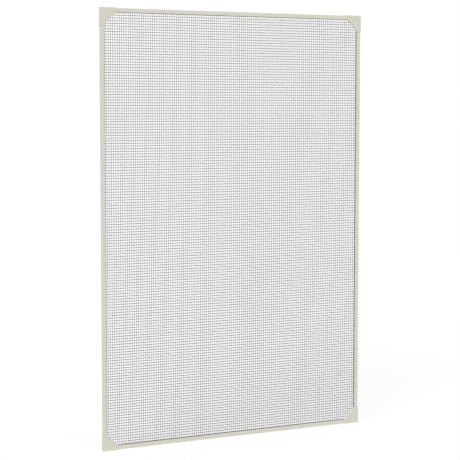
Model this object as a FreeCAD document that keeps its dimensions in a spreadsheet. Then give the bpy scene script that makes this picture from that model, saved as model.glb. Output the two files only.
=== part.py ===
import FreeCAD, Part
import os
import Sketcher

# Magnetic insect screen for a window: a slim plastic frame round a stretched wire mesh.
# +Z is up, +X is to the right and the front faces -Y. The origin is the middle of the whole screen.
# Lengths are in millimetres. Depth is counted from the front of the corner caps towards the back.

DIMENSIONS = {
    "overall_width": 800.0,
    "overall_height": 1200.0,
    # The rails' section
    "rail_width": 11.2,
    "rail_wall": 1.2,
    "channel_width": 5.1,
    "channel_depth": 2.4,
    "lip_width": 0.4,
    "lip_depth": 0.5,
    "edge_break": 0.4,
    "fit_clearance": 0.1,
    # The cover strips and the legs that snap them in
    "strip_thickness": 1.8,
    "strip_edge_radius": 0.8,
    "leg_thickness": 1.0,
    "leg_tip_thickness": 0.7,
    "leg_length": 2.1,
    "leg_end_gap": 1.0,
    "barb_height": 0.35,
    # The mesh
    "mesh_thickness": 0.8,
    "mesh_clearance": 0.2,
    "wire_diameter": 1.05,
    "wire_pitch_across": 6.32,
    "wire_pitch_up": 7.28,
    "pitches_per_gap_across": 13.0,
    "pitches_per_gap_up": 12.0,
    "bar_margin": 0.3,
    # The magnet strips
    "magnet_thickness": 2.0,
    "magnet_proud_behind": 0.4,
    "magnet_proud_inside": 0.2,
    "magnet_chamfer": 0.3,
    "magnet_end_gap": 0.3,
    # The corner joints and their caps
    "corner_overhang": 1.3,
    "corner_rise": 0.7,
    "corner_arc_radius": 120.0,
    "corner_arc_run": 34.8,
    "corner_land": 0.8,
    "corner_outer_radius": 2.0,
    "corner_wall": 1.4,
    "corner_face_thickness": 2.4,
    "corner_rib": 1.2,
    "corner_rib_recess": 0.6,
    "corner_rib_place": 20.0,
    "cap_edge_bevel": 0.5,
    "cap_inner_bevel": 1.4,
    "joint_set_back": 0.65,
    "joint_arc_set_back": 3.0,
    "tongue_length": 18.0,
    "tongue_root": 1.0,
    "tab_width": 5.0,
    "tab_thickness": 1.2,
    "tab_barb": 0.4,
    "tab_hook_depth": 0.8,
    "tab_end_place": 8.0,
    "tab_side_place": 3.2,
    "tab_corner_place": 9.0,
    "slot_clearance": 0.2,
}

WIRES_PER_BAR = 3
SIXTY_DEGREES_SINE = 0.75**0.5

UP = FreeCAD.Vector(0, 0, 1)
DEPTH_AXIS = FreeCAD.Vector(0, 1, 0)


class Size:
    """A number of millimetres together with the formula on the spreadsheet that gives it."""

    def __init__(self, value, formula):
        self.value = float(value)
        self.formula = formula

    def joined(self, sign, other, value):
        return Size(value, "(" + self.formula + " " + sign + " " + other.formula + ")")

    def __add__(self, other):
        other = as_size(other)
        return self.joined("+", other, self.value + other.value)

    def __sub__(self, other):
        other = as_size(other)
        return self.joined("-", other, self.value - other.value)

    def __mul__(self, other):
        other = as_size(other)
        return self.joined("*", other, self.value * other.value)

    def __truediv__(self, other):
        other = as_size(other)
        return self.joined("/", other, self.value / other.value)

    def root(self):
        return Size(self.value**0.5, "sqrt(" + self.formula + ")")

    def whole(self):
        return Size(int(self.value), "floor(" + self.formula + ")")


def as_size(number):
    """A bare number as a Size, or the Size itself."""
    if isinstance(number, Size):
        return number
    return Size(number, str(float(number)))


def make_sheet(doc):
    """Put the driving dimensions in the spreadsheet, each in a cell with its own alias."""
    sheet = doc.addObject("Spreadsheet::Sheet", "sizes")
    for row, (alias, number) in enumerate(DIMENSIONS.items(), start=1):
        sheet.set("A%d" % row, alias.replace("_", " "))
        sheet.set("B%d" % row, str(number))
        sheet.setAlias("B%d" % row, alias)
    doc.recompute()


def dim(alias):
    """The Size of one driving dimension."""
    return Size(DIMENSIONS[alias], "sizes." + alias)


def bind(thing, name, size):
    """Tie a length of a document object to its formula."""
    thing.setExpression(name, size.formula)


# Depths from the frontmost plane to the back of the magnet strips
ZERO = as_size(0.0)
strip_front = dim("corner_rise")
seam = strip_front + dim("strip_thickness")
mesh_back = seam + dim("mesh_thickness")
channel_floor = seam + dim("channel_depth")
magnet_seat = channel_floor + dim("rail_wall")
magnet_back = magnet_seat + dim("magnet_thickness")
rail_back = magnet_back - dim("magnet_proud_behind")
overall_depth = magnet_back

# Distances inwards from a rail's outer edge
channel_start = dim("rail_wall")
channel_end = channel_start + dim("channel_width")
rebate_start = channel_end + dim("rail_wall")
mesh_edge = rebate_start + dim("mesh_clearance")
rail_width = dim("rail_width")

# The corner pieces, measured from their own outer corner
corner_rail = dim("corner_overhang")
corner_inside = corner_rail + rail_width
arc_radius = dim("corner_arc_radius")
arc_run = dim("corner_arc_run")
arc_centre = corner_inside + (arc_run + (arc_radius * arc_radius * 2 - arc_run * arc_run).root()) / 2
corner_end = corner_inside + arc_run + dim("corner_land")

# Lengths of the rails between the corner pieces
rail_across = dim("overall_width") - corner_end * 2
rail_up = dim("overall_height") - corner_end * 2

# Each side of the frame: its name, its turn about the depth axis, and which way it lies from the middle
SIDES = [
    ("bottom", 0, 0, -1, rail_across),
    ("right", -90, 1, 0, rail_up),
    ("top", 180, 0, 1, rail_across),
    ("left", 90, -1, 0, rail_up),
]

# Each corner of the frame: its name, its turn about the depth axis, and which way it lies from the middle
CORNERS = [
    ("bottom_left", 0, -1, -1),
    ("bottom_right", -90, 1, -1),
    ("top_right", 180, 1, 1),
    ("top_left", 90, -1, 1),
]


def new_body(doc, label):
    """A body whose label is the sub-part's name."""
    body = doc.addObject("PartDesign::Body", label)
    body.Label = label
    return body


def plane_of(body, role):
    """One of the three planes through the body's own origin."""
    return next(plane for plane in body.Origin.OriginFeatures if plane.Role == role)


def place(body, turn, across, up):
    """Turn a body about the depth axis and move its own origin to its place on the frame."""
    body.Placement = FreeCAD.Placement(
        FreeCAD.Vector(across.value, -overall_depth.value / 2, up.value),
        FreeCAD.Rotation(DEPTH_AXIS, turn),
    )
    bind(body, "Placement.Base.x", across)
    bind(body, "Placement.Base.y", ZERO - overall_depth / 2)
    bind(body, "Placement.Base.z", up)


def pin_point(sketch, element, position, spot):
    """Hold one point of a sketch at a place given by two Sizes."""
    for kind, size in zip(("DistanceX", "DistanceY"), spot):
        rule = Sketcher.Constraint(kind, -1, 1, element, position, size.value)
        number = sketch.addConstraint(rule)
        sketch.setExpression("Constraints[%d]" % number, size.formula)


def draw_outline(sketch, spots, arcs=None):
    """Draw a closed outline through the spots, where arcs gives the centre of each side that is round."""
    arcs = arcs or {}
    first = sketch.GeometryCount
    points = [FreeCAD.Vector(across.value, up.value, 0) for across, up in spots]
    count = len(points)
    ends = []
    for side in range(count):
        start, stop = points[side], points[(side + 1) % count]
        if side not in arcs:
            sketch.addGeometry(Part.LineSegment(start, stop), False)
            ends.append((1, 2))
            continue
        centre = FreeCAD.Vector(arcs[side][0].value, arcs[side][1].value, 0)
        one, two = start - centre, stop - centre
        turns_left = one.cross(two).z > 0
        low, high = (one, two) if turns_left else (two, one)
        circle = Part.Circle(centre, UP, one.Length)
        angles = [FreeCAD.Vector(1, 0, 0).getAngle(ray) * (1 if ray.y >= 0 else -1) for ray in (low, high)]
        sketch.addGeometry(Part.ArcOfCircle(circle, angles[0], angles[1]), False)
        ends.append((1, 2) if turns_left else (2, 1))
    for side in range(count):
        after = (side + 1) % count
        stop, start = (first + side, ends[side][1]), (first + after, ends[after][0])
        sketch.addConstraint(Sketcher.Constraint("Coincident", *stop, *start))
        pin_point(sketch, first + side, ends[side][0], spots[side])
    for side, centre in arcs.items():
        rule = Sketcher.Constraint("DistanceX", -1, 1, first + side, 3, centre[0].value)
        number = sketch.addConstraint(rule)
        sketch.setExpression("Constraints[%d]" % number, centre[0].formula)


def rectangle(left, right, low, high):
    """The four corners of a rectangle."""
    return [(left, low), (right, low), (right, high), (left, high)]


def new_sketch(body, name, role, away=None):
    """A sketch on one of the body's planes, moved off it along the plane's normal by a Size."""
    sketch = body.newObject("Sketcher::SketchObject", name)
    sketch.AttachmentSupport = [(plane_of(body, role), "")]
    sketch.MapMode = "FlatFace"
    if away is not None:
        sketch.AttachmentOffset = FreeCAD.Placement(FreeCAD.Vector(0, 0, away.value), FreeCAD.Rotation())
        bind(sketch, "AttachmentOffset.Base.z", away)
    return sketch


def extrude(body, name, sketch, length, kind="PartDesign::Pad", reverse=False, both_ways=False):
    """Pad or pocket a sketch by a length."""
    feature = body.newObject(kind, name)
    feature.Profile = sketch
    feature.Length = length.value
    feature.Reversed = reverse
    if both_ways:
        feature.SideType = "Symmetric"
    bind(feature, "Length", length)
    body.Tip = feature
    return feature


def plate(body, name, outline, front, back, arcs=None):
    """Add material inside an outline that is drawn seen from the front, from one depth to another."""
    sketch = new_sketch(body, name + "_outline", "XZ_Plane", ZERO - front)
    draw_outline(sketch, outline, arcs)
    return extrude(body, name, sketch, back - front, reverse=True)


def recess(body, name, outline, front, back, arcs=None):
    """Take material away inside an outline that is drawn seen from the front, between two depths."""
    sketch = new_sketch(body, name + "_outline", "XZ_Plane", ZERO - front)
    draw_outline(sketch, outline, arcs)
    return extrude(body, name, sketch, back - front, kind="PartDesign::Pocket")


def extrusion(body, name, outline, length):
    """Extrude a section both ways along X. It is drawn as depth against distance inwards."""
    sketch = new_sketch(body, name + "_section", "YZ_Plane")
    draw_outline(sketch, outline)
    return extrude(body, name, sketch, length, both_ways=True)


def edges_where(feature, test):
    """Names of the edges of a feature whose middle and direction pass a test."""
    names = []
    for number, edge in enumerate(feature.Shape.Edges, start=1):
        middle = edge.valueAt((edge.FirstParameter + edge.LastParameter) / 2)
        if test(edge, middle):
            names.append("Edge%d" % number)
    return names


def soften(body, name, kind, feature, test, size):
    """Fillet or chamfer the edges of a feature that pass a test."""
    body.Document.recompute()
    softened = body.newObject(kind, name)
    softened.Base = (feature, edges_where(feature, test))
    softened.Refine = True
    bound = "Radius" if kind.endswith("Fillet") else "Size"
    setattr(softened, bound, size.value)
    bind(softened, bound, size)
    body.Tip = softened
    return softened


def near(one, other):
    """Whether two lengths are the same apart from rounding."""
    return abs(one - other) < 0.001


def base_rail(doc, side, length):
    """The channelled extrusion: a snap channel and a mesh rebate in front, a magnet seat behind."""
    body = new_body(doc, "base_rail_" + side)
    lip_back = seam + dim("lip_depth")
    section = [
        (seam, ZERO),
        (rail_back - dim("edge_break"), ZERO),
        (rail_back, dim("edge_break")),
        (rail_back, channel_start),
        (magnet_seat, channel_start),
        (magnet_seat, rail_width),
        (mesh_back, rail_width),
        (mesh_back, rebate_start),
        (seam, rebate_start),
        (seam, channel_end - dim("lip_width")),
        (lip_back, channel_end - dim("lip_width")),
        (lip_back, channel_end),
        (channel_floor, channel_end),
        (channel_floor, channel_start),
        (lip_back, channel_start),
        (lip_back, channel_start + dim("lip_width")),
        (seam, channel_start + dim("lip_width")),
    ]
    extrusion(body, "rail_profile", section, length)
    return body


def snap_leg(barbed_face, barb_side):
    """A leg's section, with its barbed face at a distance inwards and the barb out (-1) or in (1)."""
    root = seam - dim("strip_thickness") / 2
    barb_front = seam + dim("lip_depth") + dim("fit_clearance")
    tip = seam + dim("leg_length")
    far_face = barbed_face - dim("leg_thickness") * barb_side
    return [
        (root, barbed_face),
        (barb_front, barbed_face),
        (barb_front, barbed_face + dim("barb_height") * barb_side),
        (tip, far_face + dim("leg_tip_thickness") * barb_side),
        (tip, far_face),
        (root, far_face),
    ]


def cover_strip(doc, side, length):
    """The strip that snaps into the channel from the front and clamps the edge of the mesh."""
    body = new_body(doc, "cover_strip_" + side)
    face = extrusion(body, "strip_face", rectangle(strip_front, seam, ZERO, rail_width), length)
    clear_of_lip = dim("lip_width") + dim("fit_clearance")
    leg_run = length - (dim("tongue_length") + dim("leg_end_gap")) * 2
    extrusion(body, "outer_snap_leg", snap_leg(channel_start + clear_of_lip, -1), leg_run)
    legs = extrusion(body, "inner_snap_leg", snap_leg(channel_end - clear_of_lip, 1), leg_run)

    def front_long_edge(edge, middle):
        on_front = near(middle.y, strip_front.value) and near(middle.x, 0)
        return on_front and edge.Length > face.Length.Value / 2

    soften(body, "rounded_front", "PartDesign::Fillet", legs, front_long_edge, dim("strip_edge_radius"))
    return body


def magnet_strip(doc, side, length):
    """The flexible magnet bonded in the seat behind a rail, a little proud behind and on the inside."""
    body = new_body(doc, "magnet_strip_" + side)
    outer = channel_start + dim("fit_clearance")
    inner = rail_width + dim("magnet_proud_inside")
    cut = dim("magnet_chamfer")
    section = [
        (magnet_seat, outer),
        (magnet_back - cut, outer),
        (magnet_back, outer + cut),
        (magnet_back, inner - cut),
        (magnet_back - cut, inner),
        (magnet_seat, inner),
    ]
    extrusion(body, "magnet_section", section, length - dim("magnet_end_gap") * 2)
    return body


def arc_reach(place_along, offset=ZERO):
    """How far from the outer edge the hollow arc lies at a place along the arm, drawn in by an offset."""
    back = arc_centre - place_along
    radius = arc_radius + offset
    return arc_centre - (radius * radius - back * back).root()


def corner_outline(inset=ZERO, outer=ZERO, hollow=ZERO):
    """The corner's outline: two short arms joined by a wide hollow arc.

    It is drawn in by an inset all round, by outer as well on its outer sides and by hollow on its arc.
    """
    outside = inset + outer
    far = corner_end - inset
    near_side = corner_inside - inset
    bend = arc_reach(near_side, inset + hollow)
    corners = [
        (outside, outside),
        (far, outside),
        (far, near_side),
        (bend, near_side),
        (near_side, bend),
        (near_side, far),
        (outside, far),
    ]
    return corners, {3: (arc_centre, arc_centre)}


def arc_band(width, arc_width):
    """The band that follows the inner edge of a corner, of one width on its arms and another on its arc."""
    start = corner_inside - width
    outer_bend = arc_reach(start, arc_width)
    inner_bend = arc_reach(corner_inside)
    spots = [
        (start, corner_end),
        (start, outer_bend),
        (outer_bend, start),
        (corner_end, start),
        (corner_end, corner_inside),
        (inner_bend, corner_inside),
        (corner_inside, inner_bend),
        (corner_inside, corner_end),
    ]
    centre = (arc_centre, arc_centre)
    return spots, {1: centre, 5: centre}


def tab_places():
    """The middle of each of the cap's three tabs, and whether its width runs up instead of across."""
    along = corner_end - dim("tab_end_place") - dim("tab_width") / 2
    beside = corner_rail + dim("tab_side_place")
    diagonal = corner_rail + dim("tab_corner_place")
    return [(along, beside, False), (diagonal, diagonal, False), (beside, along, True)]


def tab_outline(spot, wider=ZERO, hook=ZERO):
    """The rectangle of a tab or its slot, grown all round by wider and on one side by hook."""
    across, up, upright = spot
    long_half = dim("tab_width") / 2 + wider
    short_half = dim("tab_thickness") / 2 + wider
    if upright:
        return rectangle(across - short_half, across + short_half + hook, up - long_half, up + long_half)
    return rectangle(across - long_half, across + long_half, up - short_half, up + short_half + hook)


def round_outer_corner(body, feature, outer=ZERO):
    """Round the edge at the corner's own outer corner, which lies outer inwards from the cap's."""

    def at_outer_corner(edge, middle):
        return near(middle.x, outer.value) and near(middle.z, outer.value)

    radius = dim("corner_outer_radius") - outer
    return soften(body, "rounded_corner", "PartDesign::Fillet", feature, at_outer_corner, radius)


def corner_joint(doc, corner):
    """The moulded elbow behind: tongues for two rails, a rebate for the mesh and a ribbed hollow back."""
    body = new_body(doc, "corner_joint_" + corner)
    outer = dim("joint_set_back")
    hollow = dim("joint_arc_set_back")
    outline, arcs = corner_outline(outer=outer, hollow=hollow)
    plate(body, "elbow", outline, seam, rail_back, arcs)
    rebate = rail_width - rebate_start
    band, band_arcs = arc_band(rebate, rebate + hollow)
    recess(body, "mesh_rebate", band, seam, mesh_back, band_arcs)

    cavity_front = seam + dim("corner_face_thickness")
    inset, inset_arcs = corner_outline(dim("corner_wall"), outer, hollow)
    recess(body, "hollow_back", inset, cavity_front, rail_back, inset_arcs)

    rib_low = corner_rail + dim("corner_rib_place") - dim("corner_rib") / 2
    rib_high = rib_low + dim("corner_rib")
    rib_start = outer + dim("corner_wall") / 2
    rib_reach = arc_reach(rib_high, hollow) - dim("corner_wall") / 2
    rib_back = rail_back - dim("corner_rib_recess")
    plate(body, "upright_rib", rectangle(rib_low, rib_high, rib_start, rib_reach), cavity_front, rib_back)
    plate(body, "level_rib", rectangle(rib_start, rib_reach, rib_low, rib_high), cavity_front, rib_back)

    for number, spot in enumerate(tab_places(), start=1):
        slot = tab_outline(spot, dim("slot_clearance"))
        recess(body, "tab_slot_%d" % number, slot, seam, cavity_front)

    gap = dim("fit_clearance")
    lip_back = seam + dim("lip_depth")
    head_low = corner_rail + channel_start + gap
    head_high = corner_rail + channel_end - gap
    neck_low = head_low + dim("lip_width")
    neck_high = head_high - dim("lip_width")
    tongue_section = [
        (seam + gap, neck_low),
        (lip_back + gap, neck_low),
        (lip_back + gap, head_low),
        (channel_floor - gap, head_low),
        (channel_floor - gap, head_high),
        (lip_back + gap, head_high),
        (lip_back + gap, neck_high),
        (seam + gap, neck_high),
    ]
    start = corner_end - dim("tongue_root")
    reach = dim("tongue_length") + dim("tongue_root")
    level = new_sketch(body, "level_tongue_section", "YZ_Plane", start)
    draw_outline(level, tongue_section)
    extrude(body, "level_tongue", level, reach)
    upright = new_sketch(body, "upright_tongue_section", "XY_Plane", start)
    draw_outline(upright, [(inwards, depth) for depth, inwards in tongue_section])
    tongues = extrude(body, "upright_tongue", upright, reach)

    round_outer_corner(body, tongues, outer)
    return body


def corner_cap(doc, corner):
    """The cap clipped on in front: a raised face, bevelled most on its inner edge, and three barbed tabs."""
    body = new_body(doc, "corner_cap_" + corner)
    outline, arcs = corner_outline()
    face = plate(body, "cap_face", outline, ZERO, seam, arcs)
    rounded = round_outer_corner(body, face)

    def outer_rim(edge, middle):
        at_arm_end = near(max(middle.x, middle.z), corner_end.value)
        inside = min(middle.x, middle.z) > corner_inside.value / 2
        return near(middle.y, 0) and not at_arm_end and not inside

    def inner_rim(edge, middle):
        at_arm_end = near(max(middle.x, middle.z), corner_end.value)
        inside = min(middle.x, middle.z) > corner_inside.value / 2
        return near(middle.y, 0) and not at_arm_end and inside

    rim = soften(body, "bevelled_rim", "PartDesign::Chamfer", rounded, outer_rim, dim("cap_edge_bevel"))
    soften(body, "bevelled_inner_edge", "PartDesign::Chamfer", rim, inner_rim, dim("cap_inner_bevel"))

    root = seam - dim("strip_thickness") / 2
    hook_front = seam + dim("corner_face_thickness") + dim("fit_clearance")
    tip = hook_front + dim("tab_hook_depth")
    hook = dim("slot_clearance") + dim("tab_barb")
    for number, spot in enumerate(tab_places(), start=1):
        plate(body, "tab_%d" % number, tab_outline(spot), root, tip)
        plate(body, "tab_barb_%d" % number, tab_outline(spot, hook=hook), hook_front, tip)
    return body


def mesh_screen(doc):
    """The insect mesh: a sheet with evenly spaced gaps, and wires as ridges on the bars between them."""
    body = new_body(doc, "mesh_screen")
    low = dim("corner_overhang") + mesh_edge
    right = dim("overall_width") - low
    high = dim("overall_height") - low
    bend = arc_reach(low, rail_width - mesh_edge + dim("joint_arc_set_back"))
    right_bend = dim("overall_width") - bend
    high_bend = dim("overall_height") - bend
    right_centre = dim("overall_width") - arc_centre
    high_centre = dim("overall_height") - arc_centre
    outline = [
        (bend, low),
        (right_bend, low),
        (right, bend),
        (right, high_bend),
        (right_bend, high),
        (bend, high),
        (low, high_bend),
        (low, bend),
    ]
    arcs = {
        1: (right_centre, arc_centre),
        3: (right_centre, high_centre),
        5: (arc_centre, high_centre),
        7: (arc_centre, arc_centre),
    }
    plate(body, "sheet", outline, seam, mesh_back, arcs)

    opening_start = corner_inside
    opening_width = dim("overall_width") - opening_start * 2
    opening_height = dim("overall_height") - opening_start * 2
    bar_edges = dim("wire_diameter") + dim("bar_margin") * 2
    bar_across = dim("wire_pitch_across") * (WIRES_PER_BAR - 1) + bar_edges
    bar_up = dim("wire_pitch_up") * (WIRES_PER_BAR - 1) + bar_edges
    columns = (opening_width / (dim("wire_pitch_across") * dim("pitches_per_gap_across"))).whole()
    rows = (opening_height / (dim("wire_pitch_up") * dim("pitches_per_gap_up"))).whole()
    step_across = (opening_width - bar_across) / columns
    step_up = (opening_height - bar_up) / rows

    gap_left = opening_start + bar_across
    gap_low = opening_start + bar_up
    gap_outline = rectangle(gap_left, opening_start + step_across, gap_low, opening_start + step_up)
    gap = recess(body, "gap", gap_outline, seam, mesh_back)
    gaps = body.newObject("PartDesign::LinearPattern", "gap_pattern")
    gaps.Originals = [gap]
    spread(body, gaps, "", "X_Axis", columns, step_across)
    spread(body, gaps, "2", "Z_Axis", rows, step_up)
    body.Tip = gaps

    radius = dim("wire_diameter") / 2
    run_start = opening_start + dim("mesh_clearance")
    run_up = opening_height - dim("mesh_clearance") * 2
    run_across = opening_width - dim("mesh_clearance") * 2
    first_across = opening_start + step_across + dim("bar_margin") + radius
    first_up = opening_start + step_up + dim("bar_margin") + radius

    upright = new_sketch(body, "upright_wire_section", "XY_Plane", run_start)
    for number in range(WIRES_PER_BAR):
        across = first_across + dim("wire_pitch_across") * number
        draw_ridge(upright, across, seam, radius, lengthwise=True)
    raised = extrude(body, "upright_wires", upright, run_up)
    uprights = body.newObject("PartDesign::LinearPattern", "upright_wire_pattern")
    uprights.Originals = [raised]
    spread(body, uprights, "", "X_Axis", columns - 1, step_across)
    body.Tip = uprights

    level = new_sketch(body, "level_wire_section", "YZ_Plane", run_start)
    for number in range(WIRES_PER_BAR):
        up = first_up + dim("wire_pitch_up") * number
        draw_ridge(level, up, mesh_back, radius, lengthwise=False)
    raised = extrude(body, "level_wires", level, run_across)
    levels = body.newObject("PartDesign::LinearPattern", "level_wire_pattern")
    levels.Originals = [raised]
    spread(body, levels, "", "Z_Axis", rows - 1, step_up)
    body.Tip = levels
    return body


def spread(body, pattern, which, axis, count, step):
    """Set one direction of a pattern: how many copies, and how far apart."""
    line = next(thing for thing in body.Origin.OriginFeatures if thing.Role == axis)
    setattr(pattern, "Direction" + which, (line, [""]))
    setattr(pattern, "Mode" + which, "Spacing")
    setattr(pattern, "Occurrences" + which, int(count.value))
    setattr(pattern, "Offset" + which, step.value)
    setattr(pattern, "Spacings" + which, [-1.0] * (int(count.value) - 1))
    bind(pattern, "Occurrences" + which, count)
    bind(pattern, "Offset" + which, step)


def draw_ridge(sketch, along, face, radius, lengthwise):
    """Half of a wire's six-sided section, on the sheet's front face, or on its back if it runs level."""
    height = radius * SIXTY_DEGREES_SINE
    offsets = [ZERO - radius, ZERO - radius / 2, radius / 2, radius]
    heights = [ZERO, height, height, ZERO]
    if lengthwise:
        spots = [(along + offset, face - rise) for offset, rise in zip(offsets, heights)]
    else:
        spots = [(face + rise, along + offset) for offset, rise in zip(offsets, heights)]
    draw_outline(sketch, spots)


def check_document(doc, bodies):
    """Stop if any feature failed or any sub-part has no sound solid."""
    for thing in doc.Objects:
        if "Invalid" in thing.State or "Error" in thing.State:
            raise RuntimeError("%s has failed: %s" % (thing.Label, thing.State))
    for body in bodies:
        if body.Shape.isNull() or not body.Shape.isValid() or not body.Shape.Solids:
            raise RuntimeError("%s has no sound solid" % body.Label)


def build(doc):
    """Build every sub-part, put it in its place and return them all."""
    bodies = []
    half_width = dim("overall_width") / 2
    half_height = dim("overall_height") / 2
    rail_edges = {-1: half_width - dim("corner_overhang"), 1: half_height - dim("corner_overhang")}
    for side, turn, towards_x, towards_z, length in SIDES:
        across = rail_edges[-1] * towards_x
        up = rail_edges[1] * towards_z
        for make in (base_rail, magnet_strip, cover_strip):
            body = make(doc, side, length)
            place(body, turn, across, up)
            bodies.append(body)
    for corner, turn, towards_x, towards_z in CORNERS:
        for make in (corner_joint, corner_cap):
            body = make(doc, corner)
            place(body, turn, half_width * towards_x, half_height * towards_z)
            bodies.append(body)
    body = mesh_screen(doc)
    place(body, 0, half_width * -1, half_height * -1)
    bodies.append(body)
    return bodies


document = FreeCAD.newDocument("window_screen")
make_sheet(document)
sub_parts = build(document)
document.recompute()
check_document(document, sub_parts)
os.makedirs("parts", exist_ok=True)
for sub_part in sub_parts:
    sub_part.Shape.exportStep("parts/" + sub_part.Label + ".step")
    print(sub_part.Label, round(sub_part.Shape.Volume, 1), "mm3")
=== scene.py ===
"""Dresses a magnetic insect screen: satin mouldings, bonded magnet strips and a woven mesh."""

from __future__ import annotations

import logging
import math
from dataclasses import dataclass, field
from enum import Enum

import bpy
import numpy as np
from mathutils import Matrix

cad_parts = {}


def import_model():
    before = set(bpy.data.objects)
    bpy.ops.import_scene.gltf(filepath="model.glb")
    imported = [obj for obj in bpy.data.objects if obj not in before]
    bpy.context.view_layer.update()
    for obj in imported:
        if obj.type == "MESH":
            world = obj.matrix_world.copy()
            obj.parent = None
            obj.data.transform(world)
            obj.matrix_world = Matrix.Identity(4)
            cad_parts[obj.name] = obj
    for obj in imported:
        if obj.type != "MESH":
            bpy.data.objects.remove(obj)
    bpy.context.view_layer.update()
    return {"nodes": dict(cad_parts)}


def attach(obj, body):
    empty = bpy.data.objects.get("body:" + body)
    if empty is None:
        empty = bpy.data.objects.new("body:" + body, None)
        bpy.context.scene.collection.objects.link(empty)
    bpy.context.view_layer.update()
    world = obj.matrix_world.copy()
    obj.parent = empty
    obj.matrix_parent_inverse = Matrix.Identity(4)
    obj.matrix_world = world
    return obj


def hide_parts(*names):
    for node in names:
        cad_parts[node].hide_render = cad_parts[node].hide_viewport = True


LOG = logging.getLogger("insect_screen")
MM = 0.001
FULL_TURN = 2.0 * math.pi
UNIT = (0.0, 1.0)
PHOTO_SIDE = 460.0
SENSOR_WIDTH = 36.0

Span = tuple[float, float]
Colour = tuple[float, float, float]
Vector3 = tuple[float, float, float]
Socket = bpy.types.NodeSocket
Feed = Socket | float | tuple
Feeds = dict[str | int, Feed]


class Run(Enum):
    """The way that a length of moulding or a thread runs, as its unit vector."""

    ACROSS = (1.0, 0.0, 0.0)
    UPRIGHT = (0.0, 0.0, 1.0)

    def drawn_out(self, along: float, across: float) -> Vector3:
        """Gives a noise's scale on each axis from those along the run and across it."""
        return tuple(along if axis else across for axis in self.value)


# ---------------------------------------------------------------------------------------------
# Drawing up node trees
# ---------------------------------------------------------------------------------------------

# The sockets of a Mix node that blends colours
MIX_SHARE, MIX_FIRST, MIX_SECOND, MIX_RESULT = 0, 6, 7, 2


def grey(level: float) -> tuple[float, float, float, float]:
    """Gives an even grey as an opaque colour."""
    return level, level, level, 1.0


def opaque(colour: Feed) -> Feed:
    """Adds a full alpha to a colour, and leaves a socket as it is."""
    return colour if isinstance(colour, Socket) else (*colour, 1.0)


class Tree:
    """A node tree that is being drawn up, one node at a time."""

    def __init__(self, tree: bpy.types.NodeTree) -> None:
        """Takes the empty tree of a material, a world or a node group."""
        self.tree = tree

    def add(self, kind: str, feeds: Feeds | None = None, **settings: object) -> bpy.types.Node:
        """Adds a node.

        Args:
            kind: the node's type name.
            feeds: what goes in each input, by name or number, either a socket or a plain value.
            **settings: the node's own properties.

        Returns:
            The new node.
        """
        node = self.tree.nodes.new(kind)
        for name, value in settings.items():
            setattr(node, name, value)
        for name, value in (feeds or {}).items():
            if isinstance(value, Socket):
                self.tree.links.new(value, node.inputs[name])
            else:
                node.inputs[name].default_value = value
        return node

    def math(self, operation: str, first: Feed, second: Feed) -> Socket:
        """Adds a Math node for two sockets or numbers, and gives its result."""
        return self.add("ShaderNodeMath", {0: first, 1: second}, operation=operation).outputs[0]

    def remap(self, value: Socket, source: Span, target: Span) -> Socket:
        """Spreads a value from one range over another, and holds it there.

        Args:
            value: the socket to read.
            source: the range that is read.
            target: the range that comes out.

        Returns:
            The result's socket.
        """
        feeds = {
            "Value": value,
            "From Min": source[0],
            "From Max": source[1],
            "To Min": target[0],
            "To Max": target[1],
        }
        return self.add("ShaderNodeMapRange", feeds).outputs["Result"]

    def noise(self, place: Socket, scale: Feed, detail: Feed, roughness: float = 0.5) -> Socket:
        """Adds a noise with its finer layers, read at a place, and gives its value."""
        feeds = {"Vector": place, "Scale": scale, "Detail": detail, "Roughness": roughness}
        return self.add("ShaderNodeTexNoise", feeds).outputs["Fac"]

    def blend(self, share: Socket, first: Feed, second: Feed) -> Socket:
        """Blends two colours or colour sockets, by the share of the second that shows."""
        feeds = {MIX_SHARE: share, MIX_FIRST: opaque(first), MIX_SECOND: opaque(second)}
        return self.add("ShaderNodeMix", feeds, data_type="RGBA").outputs[MIX_RESULT]

    def use(self, group: bpy.types.NodeTree, feeds: Feeds) -> bpy.types.NodeOutputs:
        """Places a node group with what goes in each of its inputs, and gives its outputs."""
        return self.add("ShaderNodeGroup", feeds, node_tree=group).outputs


def new_group(
    name: str, takes: dict[str, str], gives: dict[str, str]
) -> tuple[Tree, bpy.types.NodeOutputs]:
    """Opens a shader node group.

    Args:
        name: the group's name.
        takes: each input's name and socket type.
        gives: each output's name and socket type.

    Returns:
        The Tree to draw the group with, and the sockets of what the group takes.
    """
    group = bpy.data.node_groups.new(name, "ShaderNodeTree")
    for label, kind in takes.items():
        group.interface.new_socket(label, in_out="INPUT", socket_type=kind)
    for label, kind in gives.items():
        group.interface.new_socket(label, in_out="OUTPUT", socket_type=kind)
    tree = Tree(group)
    return tree, tree.add("NodeGroupInput").outputs


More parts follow.
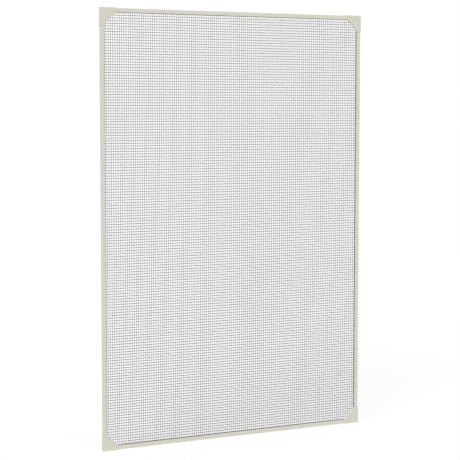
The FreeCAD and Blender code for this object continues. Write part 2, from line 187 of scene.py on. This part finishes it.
class Effects:
    """The surface effects that several finishes share, one node group each."""

    VALUE = "NodeSocketFloat"
    VECTOR = "NodeSocketVector"
    # A contrast is the band of a noise that is spread out from none of the effect to all of it
    MARK_ROUGHNESS = 0.65
    MARK_CONTRAST = (0.38, 0.66)
    GRAIN_DETAIL, GRAIN_ROUGHNESS = 2.0, 0.6
    CLOUD_DETAIL, CLOUD_ROUGHNESS = 3.0, 0.55
    CLOUD_CONTRAST = (0.33, 0.68)
    DUST_SLOPE = (0.15, 0.95)  # how far a face looks up where dust starts to lie, and is full
    DUST_SCALE, DUST_DETAIL, DUST_ROUGHNESS = 90.0, 4.0, 0.6
    DUST_CONTRAST = (0.35, 0.7)
    DUST_COVER = (0.35, 1.0)  # how much dust the barest and the fullest patch have
    BEAD_DETAIL, BEAD_SHARE = 2.0, 0.6
    BATCH_SCALE, BATCH_DETAIL, BATCH_SHARE = 7.0, 1.0, 0.4
    COAT_CONTRAST = (0.36, 0.64)

    def __init__(self) -> None:
        """Draws up every group once."""
        self.draw_marks = self._draw_marks()
        self.mould_skin = self._mould_skin()
        self.settled_dust = self._settled_dust()
        self.coated_yarn = self._coated_yarn()

    def _draw_marks(self) -> bpy.types.NodeTree:
        """Makes the faint lines that a die leaves along an extruded length.

        Returns:
            The group, with a Mask and a Height.
        """
        tree, given = new_group(
            "die_draw_marks",
            {"Place": self.VECTOR, "Stretch": self.VECTOR, "Detail": self.VALUE},
            {"Mask": self.VALUE, "Height": self.VALUE},
        )
        feeds = {0: given["Place"], 1: given["Stretch"]}
        drawn_out = tree.add("ShaderNodeVectorMath", feeds, operation="MULTIPLY").outputs["Vector"]
        lines = tree.noise(drawn_out, 1.0, given["Detail"], self.MARK_ROUGHNESS)
        mask = tree.remap(lines, self.MARK_CONTRAST, UNIT)
        tree.add("NodeGroupOutput", {"Mask": mask, "Height": lines})
        return tree.tree

    def _mould_skin(self) -> bpy.types.NodeTree:
        """Makes the fine matt skin of a moulded piece and its slow cloudiness.

        Returns:
            The group, with a Cloud and a Height.
        """
        tree, given = new_group(
            "mould_skin",
            {"Place": self.VECTOR, "Grain": self.VALUE, "Cloud Size": self.VALUE},
            {"Cloud": self.VALUE, "Height": self.VALUE},
        )
        grain = tree.noise(given["Place"], given["Grain"], self.GRAIN_DETAIL, self.GRAIN_ROUGHNESS)
        cloud = tree.noise(
            given["Place"], given["Cloud Size"], self.CLOUD_DETAIL, self.CLOUD_ROUGHNESS
        )
        spread = tree.remap(cloud, self.CLOUD_CONTRAST, UNIT)
        tree.add("NodeGroupOutput", {"Cloud": spread, "Height": grain})
        return tree.tree

    def _settled_dust(self) -> bpy.types.NodeTree:
        """Makes the mask of the fine dust that lies on what faces upwards.

        Returns:
            The group, with a Mask.
        """
        tree, given = new_group(
            "settled_dust",
            {"Place": self.VECTOR, "Facing": self.VECTOR, "Amount": self.VALUE},
            {"Mask": self.VALUE},
        )
        upward = tree.add("ShaderNodeSeparateXYZ", {"Vector": given["Facing"]}).outputs["Z"]
        lying = tree.remap(upward, self.DUST_SLOPE, UNIT)
        patches = tree.noise(given["Place"], self.DUST_SCALE, self.DUST_DETAIL, self.DUST_ROUGHNESS)
        cover = tree.remap(patches, self.DUST_CONTRAST, self.DUST_COVER)
        mask = tree.math("MULTIPLY", tree.math("MULTIPLY", lying, cover), given["Amount"])
        tree.add("NodeGroupOutput", {"Mask": mask})
        return tree.tree

    def _coated_yarn(self) -> bpy.types.NodeTree:
        """Makes the uneven coating of a dipped thread, paler where it has run thin.

        Returns:
            The group, with a Mask and a Height.
        """
        tree, given = new_group(
            "coated_yarn",
            {"Place": self.VECTOR, "Scale": self.VALUE},
            {"Mask": self.VALUE, "Height": self.VALUE},
        )
        beads = tree.noise(given["Place"], given["Scale"], self.BEAD_DETAIL)
        batch = tree.noise(given["Place"], self.BATCH_SCALE, self.BATCH_DETAIL)
        both = tree.math(
            "ADD",
            tree.math("MULTIPLY", beads, self.BEAD_SHARE),
            tree.math("MULTIPLY", batch, self.BATCH_SHARE),
        )
        mask = tree.remap(both, self.COAT_CONTRAST, UNIT)
        tree.add("NodeGroupOutput", {"Mask": mask, "Height": beads})
        return tree.tree


# ---------------------------------------------------------------------------------------------
# Finishes
# ---------------------------------------------------------------------------------------------


@dataclass(frozen=True)
class Finish:
    """What every finish of the screen has.

    Attributes:
        name: the material's name.
        colour: the linear colour of clean, even stock.
        shade: the linear colour where it is a little darker.
        dust: the linear colour of the dust on it.
        dust_amount: how much of that dust shows.
        roughness: the range of its roughness.
        specular: the strength of its gloss.
        bump: the strength of its relief.
        relief: how deep the relief is, in metres.
    """

    name: str
    colour: Colour
    shade: Colour
    dust: Colour
    dust_amount: float
    roughness: Span
    specular: float
    bump: float
    relief: float

    def open(self) -> tuple[bpy.types.Material, Tree, Socket]:
        """Starts the material.

        Returns:
            The material, its Tree and the place on the object.
        """
        material = bpy.data.materials.new(self.name)
        material.use_nodes = True
        material.node_tree.nodes.clear()
        tree = Tree(material.node_tree)
        return material, tree, tree.add("ShaderNodeTexCoord").outputs["Object"]

    def dusted(self, tree: Tree, effects: Effects, place: Socket, stock: Socket) -> Socket:
        """Lays dust on the stock.

        Args:
            tree: the material's Tree.
            effects: the shared surface effects.
            place: the place on the object.
            stock: the colour below the dust.

        Returns:
            The colour with its dust.
        """
        facing = tree.add("ShaderNodeNewGeometry").outputs["Normal"]
        feeds = {"Place": place, "Facing": facing, "Amount": self.dust_amount}
        return tree.blend(tree.use(effects.settled_dust, feeds)["Mask"], stock, self.dust)

    def close(self, tree: Tree, colour: Socket, roughness: Socket, height: Socket) -> None:
        """Adds the bump, the surface shader and the output.

        Args:
            tree: the material's Tree.
            colour: the surface's colour.
            roughness: its roughness.
            height: the bump's height.
        """
        bump = {"Strength": self.bump, "Distance": self.relief, "Height": height}
        surface = {
            "Base Color": colour,
            "Roughness": roughness,
            "Specular IOR Level": self.specular,
            "Normal": tree.add("ShaderNodeBump", bump).outputs["Normal"],
        }
        shader = tree.add("ShaderNodeBsdfPrincipled", surface)
        tree.add("ShaderNodeOutputMaterial", {"Surface": shader.outputs["BSDF"]})


@dataclass(frozen=True)
class ExtrudedPlastic(Finish):
    """Satin plastic drawn through a die, with faint lines along its run.

    Attributes:
        run: the way that the length runs.
        line_scale: the scale of the die lines along the run and across it.
        line_detail: how many finer lines there are.
        grain: the scale of the skin's grain.
        cloud_size: the scale of its cloudiness.
        line_share: how much the die lines darken it.
        cloud_share: how much the clouds darken it.
        grain_share: how much the grain adds to the relief.
    """

    colour: Colour = (0.664, 0.668, 0.576)
    shade: Colour = (0.628, 0.630, 0.534)
    dust: Colour = (0.50, 0.49, 0.43)
    dust_amount: float = 0.35
    roughness: Span = (0.38, 0.50)
    specular: float = 0.45
    bump: float = 0.35
    relief: float = 0.04 * MM
    run: Run = Run.UPRIGHT
    line_scale: Span = (5.0, 900.0)
    line_detail: float = 3.0
    grain: float = 2600.0
    cloud_size: float = 11.0
    line_share: float = 0.35
    cloud_share: float = 0.45
    grain_share: float = 0.3

    def make(self, effects: Effects) -> bpy.types.Material:
        """Makes the material.

        Args:
            effects: the shared surface effects.

        Returns:
            The material.
        """
        material, tree, place = self.open()
        drawn_out = self.run.drawn_out(*self.line_scale)
        feeds = {"Place": place, "Stretch": drawn_out, "Detail": self.line_detail}
        marks = tree.use(effects.draw_marks, feeds)
        feeds = {"Place": place, "Grain": self.grain, "Cloud Size": self.cloud_size}
        skin = tree.use(effects.mould_skin, feeds)
        uneven = tree.math(
            "ADD",
            tree.math("MULTIPLY", marks["Mask"], self.line_share),
            tree.math("MULTIPLY", skin["Cloud"], self.cloud_share),
        )
        stock = tree.blend(uneven, self.colour, self.shade)
        roughness = tree.remap(marks["Mask"], UNIT, self.roughness)
        grain = tree.math("MULTIPLY", skin["Height"], self.grain_share)
        height = tree.math("ADD", grain, marks["Height"])
        self.close(tree, self.dusted(tree, effects, place, stock), roughness, height)
        return material


@dataclass(frozen=True)
class MouldedPlastic(Finish):
    """Matt moulded plastic of the corner pieces.

    Attributes:
        grain: the scale of the skin's grain.
        grain_contrast: the band of the grain that sets the roughness.
        cloud_size: the scale of its cloudiness.
        cloud_share: how much the clouds darken it.
    """

    colour: Colour = (0.664, 0.664, 0.572)
    shade: Colour = (0.618, 0.614, 0.518)
    dust: Colour = (0.50, 0.49, 0.43)
    dust_amount: float = 0.35
    roughness: Span = (0.48, 0.62)
    specular: float = 0.42
    bump: float = 0.45
    relief: float = 0.05 * MM
    grain: float = 1700.0
    grain_contrast: Span = (0.3, 0.7)
    cloud_size: float = 26.0
    cloud_share: float = 0.7

    def make(self, effects: Effects) -> bpy.types.Material:
        """Makes the material.

        Args:
            effects: the shared surface effects.

        Returns:
            The material.
        """
        material, tree, place = self.open()
        feeds = {"Place": place, "Grain": self.grain, "Cloud Size": self.cloud_size}
        skin = tree.use(effects.mould_skin, feeds)
        cloud = tree.math("MULTIPLY", skin["Cloud"], self.cloud_share)
        stock = tree.blend(cloud, self.colour, self.shade)
        roughness = tree.remap(skin["Height"], self.grain_contrast, self.roughness)
        self.close(tree, self.dusted(tree, effects, place, stock), roughness, skin["Height"])
        return material


@dataclass(frozen=True)
class MagnetRubber(Finish):
    """Rubber filled with ferrite powder, nearly black and a little brown, rolled in long strips.

    Attributes:
        run: the way that the strip runs.
        line_scale: the scale of the rolling marks along the run and across it.
        line_detail: how many finer marks there are.
        grain: the scale of the skin's grain.
        cloud_size: the scale of its cloudiness.
    """

    colour: Colour = (0.034, 0.030, 0.026)
    shade: Colour = (0.020, 0.018, 0.016)
    dust: Colour = (0.20, 0.18, 0.16)
    dust_amount: float = 0.25
    roughness: Span = (0.55, 0.75)
    specular: float = 0.35
    bump: float = 0.5
    relief: float = 0.06 * MM
    run: Run = Run.UPRIGHT
    line_scale: Span = (14.0, 1500.0)
    line_detail: float = 4.0
    grain: float = 2200.0
    cloud_size: float = 40.0

    def make(self, effects: Effects) -> bpy.types.Material:
        """Makes the material.

        Args:
            effects: the shared surface effects.

        Returns:
            The material.
        """
        material, tree, place = self.open()
        drawn_out = self.run.drawn_out(*self.line_scale)
        feeds = {"Place": place, "Stretch": drawn_out, "Detail": self.line_detail}
        marks = tree.use(effects.draw_marks, feeds)
        feeds = {"Place": place, "Grain": self.grain, "Cloud Size": self.cloud_size}
        skin = tree.use(effects.mould_skin, feeds)
        stock = tree.blend(marks["Mask"], self.colour, self.shade)
        roughness = tree.remap(marks["Mask"], UNIT, self.roughness)
        height = tree.math("ADD", skin["Height"], marks["Height"])
        self.close(tree, self.dusted(tree, effects, place, stock), roughness, height)
        return material


@dataclass(frozen=True)
class CoatedThread(Finish):
    """Dark coated thread of the mesh, satin, with an uneven coat.

    Attributes:
        bead_scale: the scale of the coat's unevenness.
    """

    colour: Colour = (0.040, 0.041, 0.044)
    shade: Colour = (0.062, 0.063, 0.066)
    dust: Colour = (0.32, 0.31, 0.29)
    dust_amount: float = 0.12
    roughness: Span = (0.40, 0.58)
    specular: float = 0.4
    bump: float = 0.4
    relief: float = 0.05 * MM
    bead_scale: float = 620.0

    def make(self, effects: Effects) -> bpy.types.Material:
        """Makes the material.

        Args:
            effects: the shared surface effects.

        Returns:
            The material.
        """
        material, tree, place = self.open()
        coat = tree.use(effects.coated_yarn, {"Place": place, "Scale": self.bead_scale})
        stock = tree.blend(coat["Mask"], self.colour, self.shade)
        roughness = tree.remap(coat["Mask"], UNIT, self.roughness)
        self.close(tree, self.dusted(tree, effects, place, stock), roughness, coat["Height"])
        return material


# ---------------------------------------------------------------------------------------------
# The mouldings that the solids already give
# ---------------------------------------------------------------------------------------------


@dataclass
class RigidParts:
    """The rails, cover strips, corner pieces and magnet strips, which only need their finishes.

    Attributes:
        nodes: the screen's solids by name.
        effects: the shared surface effects.
    """

    nodes: dict[str, bpy.types.Object]
    effects: Effects

    def dress(self) -> None:
        """Gives each solid its finish."""
        rails, magnets = {}, {}
        for run in Run:
            label = run.name.lower()
            rails[run] = ExtrudedPlastic(f"frame_plastic_{label}", run=run).make(self.effects)
            magnets[run] = MagnetRubber(f"magnet_rubber_{label}", run=run).make(self.effects)
        moulded = MouldedPlastic("corner_plastic").make(self.effects)
        for name, node in sorted(self.nodes.items()):
            run = Run.ACROSS if name.endswith(("top", "bottom")) else Run.UPRIGHT
            if name.startswith(("base_rail", "cover_strip")):
                self.paint(node, rails[run])
            elif name.startswith("magnet_strip"):
                self.paint(node, magnets[run])
            elif name.startswith("corner_"):
                self.paint(node, moulded)

    @staticmethod
    def paint(node: bpy.types.Object, material: bpy.types.Material) -> None:
        """Puts one material on all of a solid.

        Args:
            node: the solid.
            material: its material.
        """
        for slot in node.material_slots:
            slot.material = material
        if not node.material_slots:
            node.data.materials.append(material)
        LOG.info("%s has %s", node.name, material.name)


# ---------------------------------------------------------------------------------------------
# The woven mesh
# ---------------------------------------------------------------------------------------------


@dataclass(frozen=True)
class ArcOutline:
    """An upright rectangle about the screen's middle, its corners cut off by wide hollow arcs.

    Attributes:
        half_width: half its width, in metres.
        half_height: half its height.
        radius: the radius of the arcs, which meet the sides at an angle.
        centre: the X and Z of the arcs' centres, from the middle.
    """

    half_width: float
    half_height: float
    radius: float
    centre: Span = (287.05 * MM, 487.05 * MM)

    def reach(self, run: Run, at: float) -> float:
        """Finds how far a thread goes before it meets the outline.

        Args:
            run: the way that the thread runs.
            at: the thread's place on the other axis.

        Returns:
            The distance from the middle to the outline.
        """
        end, end_centre, side_centre = self.half_height, self.centre[1], self.centre[0]
        if run is Run.ACROSS:
            end, end_centre, side_centre = self.half_width, side_centre, end_centre
        beyond = max(abs(at) - side_centre, 0.0)
        return min(end, end_centre + math.sqrt(max(self.radius**2 - beyond**2, 0.0)))

    def half_size_beside(self, run: Run) -> float:
        """Gives half the outline's size square to a run."""
        return self.half_height if run is Run.ACROSS else self.half_width

    def depth_inside(self, x: np.ndarray, z: np.ndarray) -> np.ndarray:
        """Measures how far points lie inside the outline.

        Args:
            x: the points' X.
            z: the points' Z.

        Returns:
            The distance to the outline, negative outside it.
        """
        past_x = np.maximum(np.abs(x) - self.centre[0], 0.0)
        past_z = np.maximum(np.abs(z) - self.centre[1], 0.0)
        straight = np.minimum(self.half_width - np.abs(x), self.half_height - np.abs(z))
        return np.minimum(straight, self.radius - np.hypot(past_x, past_z))


@dataclass(frozen=True)
class Threads:
    """All the threads that run one way.

    Attributes:
        run: the way that they run.
        places: the place of each on the other axis.
        crossed: the places of the threads that they cross.
    """

    run: Run
    places: np.ndarray
    crossed: np.ndarray


@dataclass
class WovenMesh:
    """The insect mesh: threads in plain weave, held flat between rail and cover strip.

    Attributes:
        sheet: the outline that the mesh is cut to.
        opening: the clear opening of the frame.
        middle: the Y of the mesh's middle plane.
        upright: the distance between upright threads, and the part of it that they miss X 0 by.
        level: the same for level threads and Z 0.
        slid: the places of the first and last upright threads, clear of the strips' edges.
        radii: the radius of upright and of level threads.
        wave: how far a thread swings to each side of the middle plane.
        clamped_radius: half a thread's thickness where it is clamped.
        clamped_wave: its swing there.
        ease: how far from the frame a thread has its full shape again.
        end_margin: how near its end a thread no longer bends round another.
        sides: the number of sides of a thread's section.
        wander: how far a thread strays sideways.
        wander_waves: how many times it strays in a metre, at least and at most.
        seed: what sets its straying.
        pieces: the pieces that were woven.
    """

    SEED_STEP = 1000  # keeps apart the seeds of pieces that start at different threads
    DIGITS = 7  # the decimals of a place along a thread, in metres

    sheet: ArcOutline = ArcOutline(391.0 * MM, 591.0 * MM, 126.5 * MM)
    opening: ArcOutline = ArcOutline(387.5 * MM, 587.5 * MM, 120.0 * MM)
    middle: float = -1.15 * MM
    upright: Span = (6.3405 * MM, 0.808)
    level: Span = (7.2845 * MM, 0.5825)
    slid: Span = (-386.0 * MM, 384.7 * MM)
    radii: Span = (0.50 * MM, 0.655 * MM)
    wave: float = 0.32 * MM
    clamped_radius: float = 0.2 * MM
    clamped_wave: float = 0.2 * MM
    ease: float = 2.4 * MM
    end_margin: float = 0.4 * MM
    sides: int = 6
    wander: float = 0.07 * MM
    wander_waves: Span = (0.8, 1.6)
    seed: int = 11
    pieces: list[bpy.types.Object] = field(default_factory=list)

    def places(self, spacing: Span, half: float) -> np.ndarray:
        """Spaces threads evenly over the sheet.

        Args:
            spacing: the distance between threads, and the part of it that they miss 0 by.
            half: half the sheet's size.

        Returns:
            The threads' places.
        """
        pitch, offset = spacing
        # Two more than fit, because the offset shifts the row
        count = int(half / pitch) + 2
        places = (np.arange(-count, count) + offset) * pitch
        return places[np.abs(places) < half - max(self.radii)]

    def thread(self, threads: Threads, number: int, stray: np.random.Generator) -> np.ndarray:
        """Lays out one thread.

        Args:
            threads: the threads that it is one of.
            number: its number among them, which sets whether it starts over or under.
            stray: the source of its small sideways wander.

        Returns:
            Its rings' points, one row of sides by 3 numbers for each ring.
        """
        run, others = threads.run, threads.crossed
        across = run is Run.ACROSS
        at = float(threads.places[number])
        end = self.sheet.reach(run, at)
        stops = [-end, end]
        if abs(at) < self.opening.half_size_beside(run):
            rim = self.opening.reach(run, at)
            stops += [-rim, rim, self.ease - rim, rim - self.ease]
        crossings = others[np.abs(others) < end - self.end_margin]
        along = np.unique(np.round(np.concatenate([crossings, stops]), self.DIGITS))
        over = (np.arange(len(others)) + int(number) + across) % 2 == 0
        swing = np.interp(along, others, np.where(over, 1.0, -1.0))
        phase, slow = stray.uniform(0.0, FULL_TURN), stray.uniform(*self.wander_waves)
        side = at + self.wander * np.sin(FULL_TURN * slow * along + phase)
        x, z = (along, side) if across else (side, along)
        free = np.clip(self.opening.depth_inside(x, z) / self.ease, 0.0, 1.0)
        radius = self.radii[across]
        thick = self.clamped_radius + free * (radius - self.clamped_radius)
        depth = self.middle + swing * (self.clamped_wave + free * (self.wave - self.clamped_wave))
        turn = FULL_TURN * (np.arange(self.sides) + 0.5) / self.sides
        wide = radius * np.cos(turn)[None, :] + side[:, None]
        deep = thick[:, None] * np.sin(turn)[None, :] + depth[:, None]
        length = np.repeat(along[:, None], self.sides, 1)
        return np.stack((length, deep, wide) if across else (wide, deep, length), 2)

    def weave(self, name: str, threads: Threads, chosen: np.ndarray) -> bpy.types.Object:
        """Builds a piece from some of the threads of one run.

        Args:
            name: the piece's name.
            threads: the threads.
            chosen: the numbers of those that the piece has.

        Returns:
            The piece.
        """
        seed = self.seed + self.SEED_STEP * int(chosen[0]) + len(name)
        stray = np.random.default_rng(seed)
        points, quads, ends, first = [], [], [], 0
        around = np.arange(self.sides)
        beside = (around + 1) % self.sides
        for number in chosen:
            rings = self.thread(threads, number, stray)
            last = first + self.sides * (len(rings) - 1)
            start = np.arange(first, last, self.sides)[:, None]
            after = start + self.sides
            faces = np.stack([start + around, start + beside, after + beside, after + around], 2)
            quads.append(faces.reshape(-1, 4))
            ends += [first + around[::-1], last + around]
            points.append(rings.reshape(-1, 3))
            first = last + self.sides
        all_quads, all_ends = np.concatenate(quads), np.array(ends)
        if threads.run is Run.ACROSS:
            all_quads, all_ends = all_quads[:, ::-1], all_ends[:, ::-1]
        mesh = self.mesh_of(name, np.concatenate(points), all_quads, all_ends)
        piece = bpy.data.objects.new(name, mesh)
        bpy.context.scene.collection.objects.link(piece)
        return piece

    @staticmethod
    def mesh_of(
        name: str, points: np.ndarray, quads: np.ndarray, ends: np.ndarray
    ) -> bpy.types.Mesh:
        """Makes a mesh of tubes with flat ends.

        Args:
            name: the mesh's name.
            points: its points.
            quads: the tubes' faces.
            ends: the end faces.

        Returns:
            The mesh.
        """
        loops = np.concatenate([quads.ravel(), ends.ravel()]).astype(np.int32)
        totals = np.concatenate([np.full(len(faces), faces.shape[1]) for faces in (quads, ends)])
        starts = np.concatenate([[0], np.cumsum(totals)[:-1]]).astype(np.int32)
        mesh = bpy.data.meshes.new(name)
        mesh.vertices.add(len(points))
        mesh.vertices.foreach_set("co", points.astype(np.float32).ravel())
        mesh.loops.add(len(loops))
        mesh.loops.foreach_set("vertex_index", loops)
        mesh.polygons.add(len(totals))
        mesh.polygons.foreach_set("loop_start", starts)
        mesh.polygons.foreach_set("use_smooth", np.arange(len(totals)) < len(quads))
        mesh.update(calc_edges=True)
        mesh.validate()
        return mesh

    def build(self) -> None:
        """Weaves the mesh in four pieces: two of upright threads and two of level threads."""
        upright = self.places(self.upright, self.sheet.half_width)
        upright[[0, -1]] = self.slid
        level = self.places(self.level, self.sheet.half_height)
        for kind, threads, halves in (
            ("warp", Threads(Run.UPRIGHT, upright, level), ("left", "right")),
            ("weft", Threads(Run.ACROSS, level, upright), ("lower", "upper")),
        ):
            numbers = np.arange(len(threads.places))
            for label, chosen in zip(halves, np.array_split(numbers, 2)):
                self.pieces.append(self.weave(f"mesh_{kind}_{label}", threads, chosen))

    def dress(self, material: bpy.types.Material) -> None:
        """Gives the pieces their finish and their place on the frame.

        Args:
            material: the thread's material.
        """
        for piece in self.pieces:
            piece.data.materials.append(material)
            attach(piece, "root")
            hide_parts("mesh_screen")
            # The threads' own area is about a quarter of width by height; 0.3 of it is the
            # least that can be declared
            LOG.info("%s has %d faces", piece.name, len(piece.data.polygons))


# ---------------------------------------------------------------------------------------------
# The studio
# ---------------------------------------------------------------------------------------------


@dataclass(frozen=True)
class Lamp:
    """A soft distant lamp.

    Attributes:
        name: its name.
        azimuth: where it stands round the screen, in degrees, 0 in front and 90 at the right.
        elevation: how high it stands, in degrees.
        strength: its strength.
        softness: how wide it looks, in degrees.
    """

    name: str
    azimuth: float
    elevation: float
    strength: float
    softness: float

    def hang(self) -> None:
        """Adds the lamp to the scene."""
        light = bpy.data.lights.new(self.name, "SUN")
        light.energy = self.strength
        light.angle = math.radians(self.softness)
        lamp = bpy.data.objects.new(self.name, light)
        lamp.rotation_euler = (math.radians(90.0 - self.elevation), 0.0, math.radians(self.azimuth))
        bpy.context.scene.collection.objects.link(lamp)


@dataclass
class Studio:
    """A plain pale floor, soft lamps and the camera.

    Attributes:
        room_light: the level of the light that comes from all round.
        floor_height: the Z of the floor.
        floor_half: half the floor's size.
        floor_matt: how pale the floor is for the light that it throws back on the screen.
        floor_faint: how pale it is to the camera, which sets how dark the shadow looks.
        floor_glow: what the camera sees besides, so that the floor is white round the shadow.
        seat: the camera's place.
        turn: the camera's turn towards +X, in degrees.
        tilt: how far the camera looks down, in degrees.
        focal_pixels: the focal length in pixels of the photograph.
        shift: the camera's upright shift.
        clip: how near and how far the camera sees.
        lamps: the lamps.
    """

    room_light: float = 0.38
    floor_height: float = -0.601
    floor_half: float = 30.0
    floor_matt: float = 0.86
    floor_faint: float = 0.20
    floor_glow: float = 0.837
    seat: Vector3 = (-1.5476, -3.3208, 0.3329)
    turn: float = 24.743
    tilt: float = 4.342
    focal_pixels: float = 1305.74
    shift: float = -0.05
    clip: Span = (0.05, 200.0)
    lamps: tuple[Lamp, ...] = (
        Lamp("key_lamp", -48.0, 40.0, 1.95, 30.0),
        Lamp("fill_lamp", 32.0, 20.0, 0.55, 70.0),
    )

    def build(self) -> None:
        """Sets up the whole studio."""
        self.light_room()
        for lamp in self.lamps:
            lamp.hang()
        self.lay_floor()
        self.set_camera()
        bpy.context.scene.view_settings.view_transform = "Standard"

    @staticmethod
    def either(tree: Tree, lighting: Socket, shown: Socket) -> Socket:
        """Gives rays that light something another shader than rays that show the background.

        Args:
            tree: the Tree to add to.
            lighting: the shader for rays that light something.
            shown: the shader for camera, glossy and transmission rays.

        Returns:
            The socket of the two shaders together.
        """
        path = tree.add("ShaderNodeLightPath").outputs
        mirrored = tree.math("MAXIMUM", path["Is Glossy Ray"], path["Is Transmission Ray"])
        directly = tree.math("MAXIMUM", path["Is Camera Ray"], mirrored)
        feeds = {0: directly, 1: lighting, 2: shown}
        return tree.add("ShaderNodeMixShader", feeds).outputs["Shader"]

    def light_room(self) -> None:
        """Makes the world, white to look at and an even light for the screen."""
        world = bpy.data.worlds.new("studio")
        world.use_nodes = True
        world.node_tree.nodes.clear()
        tree = Tree(world.node_tree)
        even = tree.add("ShaderNodeBackground", {"Color": grey(1.0), "Strength": self.room_light})
        white = tree.add("ShaderNodeBackground", {"Color": grey(1.0), "Strength": 1.0})
        surface = self.either(tree, even.outputs["Background"], white.outputs["Background"])
        tree.add("ShaderNodeOutputWorld", {"Surface": surface})
        bpy.context.scene.world = world

    def floor_finish(self) -> bpy.types.Material:
        """Makes the floor's material, white to look at apart from a faint shadow.

        Returns:
            The material.
        """
        material = bpy.data.materials.new("pale_floor")
        material.use_nodes = True
        material.node_tree.nodes.clear()
        tree = Tree(material.node_tree)
        matt = tree.add("ShaderNodeBsdfDiffuse", {"Color": grey(self.floor_matt)})
        faint = tree.add("ShaderNodeBsdfDiffuse", {"Color": grey(self.floor_faint)})
        glow = tree.add("ShaderNodeEmission", {"Color": grey(1.0), "Strength": self.floor_glow})
        feeds = {0: faint.outputs["BSDF"], 1: glow.outputs["Emission"]}
        lifted = tree.add("ShaderNodeAddShader", feeds)
        surface = self.either(tree, matt.outputs["BSDF"], lifted.outputs["Shader"])
        tree.add("ShaderNodeOutputMaterial", {"Surface": surface})
        return material

    def lay_floor(self) -> None:
        """Lays a wide pale floor that still takes the screen's shadow."""
        far = self.floor_half
        corners = ((-far, -far), (far, -far), (far, far), (-far, far))
        mesh = bpy.data.meshes.new("floor")
        mesh.from_pydata([(x, y, self.floor_height) for x, y in corners], [], [(0, 1, 2, 3)])
        mesh.materials.append(self.floor_finish())
        floor = bpy.data.objects.new("floor", mesh)
        bpy.context.scene.collection.objects.link(floor)

    def set_camera(self) -> None:
        """Puts the camera where the photograph was taken from."""
        data = bpy.data.cameras.new("camera")
        data.sensor_width = SENSOR_WIDTH
        data.lens = self.focal_pixels * SENSOR_WIDTH / PHOTO_SIDE
        data.shift_y = self.shift
        data.clip_start, data.clip_end = self.clip
        camera = bpy.data.objects.new("camera", data)
        camera.location = self.seat
        camera.rotation_euler = (math.radians(90.0 - self.tilt), 0.0, -math.radians(self.turn))
        bpy.context.scene.collection.objects.link(camera)
        bpy.context.scene.camera = camera


def main() -> None:
    """Dresses the screen's solids, weaves its mesh and sets up the studio."""
    logging.basicConfig(level=logging.INFO, format="%(name)s: %(message)s")
    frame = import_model()
    effects = Effects()
    RigidParts(frame["nodes"], effects).dress()
    mesh = WovenMesh()
    mesh.build()
    mesh.dress(CoatedThread("mesh_thread").make(effects))
    Studio().build()


if __name__ == "__main__":
    main()
